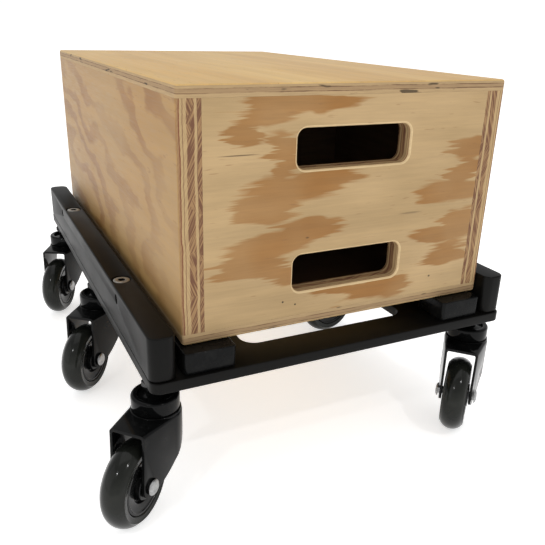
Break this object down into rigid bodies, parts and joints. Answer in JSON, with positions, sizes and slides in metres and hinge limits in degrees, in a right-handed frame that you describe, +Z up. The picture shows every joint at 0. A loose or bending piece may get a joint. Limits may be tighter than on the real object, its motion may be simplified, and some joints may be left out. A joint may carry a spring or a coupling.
{
  "type": "apple-box dolly",
  "caption": "Low flat dolly with a windowed plate, side rails and swivel casters, carrying a loose plywood box with hand holes.",
  "frame": {"origin": "on the floor under the middle of the frame", "axes": "+X to the right side, +Y from the front end to the rear end, +Z up"},
  "size_m": [0.4538, 0.5664, 0.3488],
  "materials": {
    "frame_black": "satin black coating",
    "pad_black": "satin black moulded plastic",
    "plated_screw": "zinc plated",
    "caster_black": "gloss black",
    "plated_steel": "zinc plated",
    "bearing_steel": "ground",
    "wheel_nylon": "moulded black nylon",
    "tyre_urethane": "smoky clear polyurethane",
    "plywood": "clear lacquered softwood plywood"
  },
  "bodies": {
    "frame": {"base_plate": "frame_black", "left_rail": "frame_black", "right_rail": "frame_black", "rest_pad_front_left": "pad_black", "rest_pad_rear_left": "pad_black", "rest_pad_front_right": "pad_black", "rest_pad_rear_right": "pad_black", "rail_screw_front_left": "plated_screw", "rail_screw_rear_left": "plated_screw", "rail_screw_front_right": "plated_screw", "rail_screw_rear_right": "plated_screw", "swivel_head_front_left": "caster_black", "swivel_head_middle_left": "caster_black", "swivel_head_rear_left": "caster_black", "swivel_head_front_right": "caster_black", "swivel_head_middle_right": "caster_black", "swivel_head_rear_right": "caster_black"},
    "caster_front_left": {"fork_front_left": "caster_black", "axle_bolt_front_left": "plated_steel", "axle_nut_front_left": "plated_steel"},
    "wheel_front_left": {"wheel_core_front_left": "wheel_nylon", "tyre_front_left": "tyre_urethane", "wheel_bearing_front_left": "bearing_steel"},
    "caster_middle_left": {"fork_middle_left": "caster_black", "axle_bolt_middle_left": "plated_steel", "axle_nut_middle_left": "plated_steel"},
    "wheel_middle_left": {"wheel_core_middle_left": "wheel_nylon", "tyre_middle_left": "tyre_urethane", "wheel_bearing_middle_left": "bearing_steel"},
    "caster_rear_left": {"fork_rear_left": "caster_black", "axle_bolt_rear_left": "plated_steel", "axle_nut_rear_left": "plated_steel"},
    "wheel_rear_left": {"wheel_core_rear_left": "wheel_nylon", "tyre_rear_left": "tyre_urethane", "wheel_bearing_rear_left": "bearing_steel"},
    "caster_front_right": {"fork_front_right": "caster_black", "axle_bolt_front_right": "plated_steel", "axle_nut_front_right": "plated_steel"},
    "wheel_front_right": {"wheel_core_front_right": "wheel_nylon", "tyre_front_right": "tyre_urethane", "wheel_bearing_front_right": "bearing_steel"},
    "caster_middle_right": {"fork_middle_right": "caster_black", "axle_bolt_middle_right": "plated_steel", "axle_nut_middle_right": "plated_steel"},
    "wheel_middle_right": {"wheel_core_middle_right": "wheel_nylon", "tyre_middle_right": "tyre_urethane", "wheel_bearing_middle_right": "bearing_steel"},
    "caster_rear_right": {"fork_rear_right": "caster_black", "axle_bolt_rear_right": "plated_steel", "axle_nut_rear_right": "plated_steel"},
    "wheel_rear_right": {"wheel_core_rear_right": "wheel_nylon", "tyre_rear_right": "tyre_urethane", "wheel_bearing_rear_right": "bearing_steel"},
    "plywood_box": {"box_bottom": "plywood", "box_top": "plywood", "box_left_side": "plywood", "box_right_side": "plywood", "box_front_end": "plywood", "box_rear_end": "plywood", "box_divider": "plywood"}
  },
  "joints": [
    {"name": "swivel_front_left", "type": "hinge", "parent": "frame", "child": "caster_front_left", "pos_m": [-0.1688, -0.2286, 0.088], "axis": [0, 0, 1], "continuous": true},
    {"name": "wheel_spin_front_left", "type": "hinge", "parent": "caster_front_left", "child": "wheel_front_left", "pos_m": [-0.19608, -0.2536, 0.0375], "axis": [0.6756, -0.7373, 0], "continuous": true},
    {"name": "swivel_middle_left", "type": "hinge", "parent": "frame", "child": "caster_middle_left", "pos_m": [-0.1688, 0, 0.088], "axis": [0, 0, 1], "continuous": true},
    {"name": "wheel_spin_middle_left", "type": "hinge", "parent": "caster_middle_left", "child": "wheel_middle_left", "pos_m": [-0.19258, -0.02834, 0.0375], "axis": [0.766, -0.6428, 0], "continuous": true},
    {"name": "swivel_rear_left", "type": "hinge", "parent": "frame", "child": "caster_rear_left", "pos_m": [-0.1688, 0.2286, 0.088], "axis": [0, 0, 1], "continuous": true},
    {"name": "wheel_spin_rear_left", "type": "hinge", "parent": "caster_rear_left", "child": "wheel_rear_left", "pos_m": [-0.1873, 0.19656, 0.0375], "axis": [0.866, -0.5, 0], "continuous": true},
    {"name": "swivel_front_right", "type": "hinge", "parent": "frame", "child": "caster_front_right", "pos_m": [0.1688, -0.2286, 0.088], "axis": [0, 0, 1], "continuous": true},
    {"name": "wheel_spin_front_right", "type": "hinge", "parent": "caster_front_right", "child": "wheel_front_right", "pos_m": [0.14152, -0.2536, 0.0375], "axis": [0.6756, -0.7373, 0], "continuous": true},
    {"name": "swivel_middle_right", "type": "hinge", "parent": "frame", "child": "caster_middle_right", "pos_m": [0.1688, 0, 0.088], "axis": [0, 0, 1], "continuous": true},
    {"name": "wheel_spin_middle_right", "type": "hinge", "parent": "caster_middle_right", "child": "wheel_middle_right", "pos_m": [0.13208, -0.00451, 0.0375], "axis": [0.1219, -0.9925, 0], "continuous": true},
    {"name": "swivel_rear_right", "type": "hinge", "parent": "frame", "child": "caster_rear_right", "pos_m": [0.1688, 0.2286, 0.088], "axis": [0, 0, 1], "continuous": true},
    {"name": "wheel_spin_rear_right", "type": "hinge", "parent": "caster_rear_right", "child": "wheel_rear_right", "pos_m": [0.19586, 0.25383, 0.0375], "axis": [-0.682, 0.7314, 0], "continuous": true},
    {"name": "box_lift", "type": "slide", "parent": "frame", "child": "plywood_box", "axis": [0, 0, 1], "range_m": [0, 0.25]}
  ]
}
